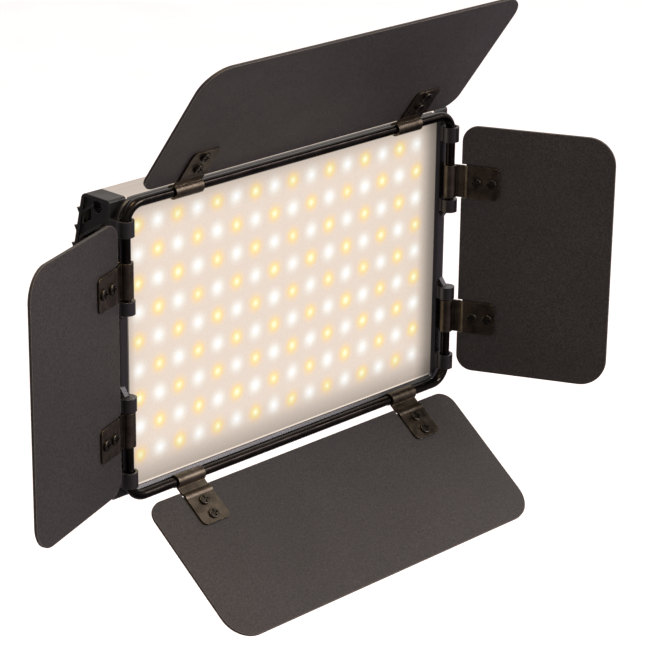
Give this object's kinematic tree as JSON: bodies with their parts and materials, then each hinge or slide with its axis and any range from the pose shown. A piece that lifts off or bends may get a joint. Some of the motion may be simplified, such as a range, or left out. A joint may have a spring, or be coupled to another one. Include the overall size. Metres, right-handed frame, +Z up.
{
  "type": "led panel light",
  "caption": "Flat rectangular LED light with an aluminium body, a frosted front and hinged barn doors on rods, with knobs and a battery plate behind.",
  "frame": {"origin": "centre of the mouth of the tripod socket, under the foot", "axes": "+Z up, out of the socket towards the panel; the light shines along -Y; +X is the right-hand side seen from in front"},
  "size_m": [0.2395, 0.0896, 0.1888],
  "materials": {
    "body_aluminium": "satin",
    "cap_plastic": "satin",
    "bezel_plastic": "satin",
    "diffuser": "matte",
    "glow_film": "matte",
    "white_plastic": "matte",
    "white_board": "satin",
    "warm_led": "gloss",
    "cool_led": "gloss",
    "green_board": "satin",
    "component_black": "matte",
    "capacitor_can": "satin",
    "ribbon_white": "satin",
    "rod_steel": "gloss",
    "door_sheet": "matte",
    "clip_steel": "satin",
    "black_screw": "satin",
    "zinc_screw": "satin",
    "brass": "satin",
    "contact_gold": "polished",
    "foot_plastic": "satin",
    "rear_plastic": "matte",
    "plate_plastic": "matte",
    "catch_plastic": "satin",
    "rocker_plastic": "satin",
    "shaft_steel": "satin",
    "knob_rubber": "matte"
  },
  "bodies": {
    "lamp": {"body_extrusion": "body_aluminium", "end_cap_left": "cap_plastic", "end_cap_right": "cap_plastic", "cap_screws": "black_screw", "front_bezel": "bezel_plastic", "diffuser_panel": "diffuser", "diffusion_film": "glow_film", "light_frame": "white_plastic", "led_board": "white_board", "warm_leds": "warm_led", "cool_leds": "cool_led", "board_screws": "zinc_screw", "driver_board": "green_board", "control_board": "green_board", "circuit_standoffs": "brass", "circuit_screws": "zinc_screw", "board_link_pins": "brass", "driver_inductors": "component_black", "driver_capacitors": "capacitor_can", "driver_chips": "component_black", "control_ribbon": "ribbon_white", "hinge_rod_upper": "rod_steel", "hinge_rod_lower": "rod_steel", "mount_foot": "foot_plastic", "foot_screws": "zinc_screw", "tripod_socket": "brass", "rear_panel": "rear_plastic", "rear_panel_screws": "black_screw", "battery_plate": "plate_plastic", "battery_plate_screws": "black_screw", "battery_contacts": "contact_gold", "power_inlet": "component_black", "inlet_pin": "contact_gold", "switch_housing": "component_black", "brightness_pot": "component_black", "colour_pot": "component_black"},
    "top_door": {"top_door_leaf": "door_sheet", "top_door_clips": "clip_steel", "top_door_screws": "black_screw"},
    "bottom_door": {"bottom_door_leaf": "door_sheet", "bottom_door_clips": "clip_steel", "bottom_door_screws": "black_screw"},
    "left_door": {"left_door_leaf": "door_sheet", "left_door_clips": "clip_steel", "left_door_screws": "black_screw"},
    "right_door": {"right_door_leaf": "door_sheet", "right_door_clips": "clip_steel", "right_door_screws": "black_screw"},
    "brightness_control": {"brightness_knob": "knob_rubber", "brightness_shaft": "shaft_steel"},
    "colour_control": {"colour_knob": "knob_rubber", "colour_shaft": "shaft_steel"},
    "power_switch": {"power_rocker": "rocker_plastic"},
    "catch": {"battery_catch": "catch_plastic"}
  },
  "joints": [
    {"name": "top_door_hinge", "type": "hinge", "parent": "lamp", "child": "top_door", "pos_m": [0, -0.02375, 0.10875], "axis": [-1, 0, 0], "range_deg": [-104.2, 80.8]},
    {"name": "bottom_door_hinge", "type": "hinge", "parent": "lamp", "child": "bottom_door", "pos_m": [0, -0.02375, 0.00725], "axis": [1, 0, 0], "range_deg": [-87.3, 82.7]},
    {"name": "left_door_hinge", "type": "hinge", "parent": "lamp", "child": "left_door", "pos_m": [-0.0775, -0.02375, 0.058], "axis": [0, 0, 1], "range_deg": [-40.7, 159.3]},
    {"name": "right_door_hinge", "type": "hinge", "parent": "lamp", "child": "right_door", "pos_m": [0.0775, -0.02375, 0.058], "axis": [0, 0, -1], "range_deg": [-84, 116]},
    {"name": "brightness_turn", "type": "hinge", "parent": "lamp", "child": "brightness_control", "pos_m": [0.036, 0.0036, 0.0682], "axis": [0, 1, 0], "range_deg": [-140, 140]},
    {"name": "colour_turn", "type": "hinge", "parent": "lamp", "child": "colour_control", "pos_m": [0.036, 0.0036, 0.0478], "axis": [0, 1, 0], "range_deg": [-140, 140]},
    {"name": "power_rock", "type": "hinge", "parent": "lamp", "child": "power_switch", "pos_m": [0.056, 0.0024, 0.066], "axis": [0, 0, 1], "range_deg": [-14, 0]},
    {"name": "catch_press", "type": "slide", "parent": "lamp", "child": "catch", "axis": [0, -1, 0], "range_m": [0, 0.002], "stiffness_N_per_m": 400, "springref_m": -0.002}
  ]
}
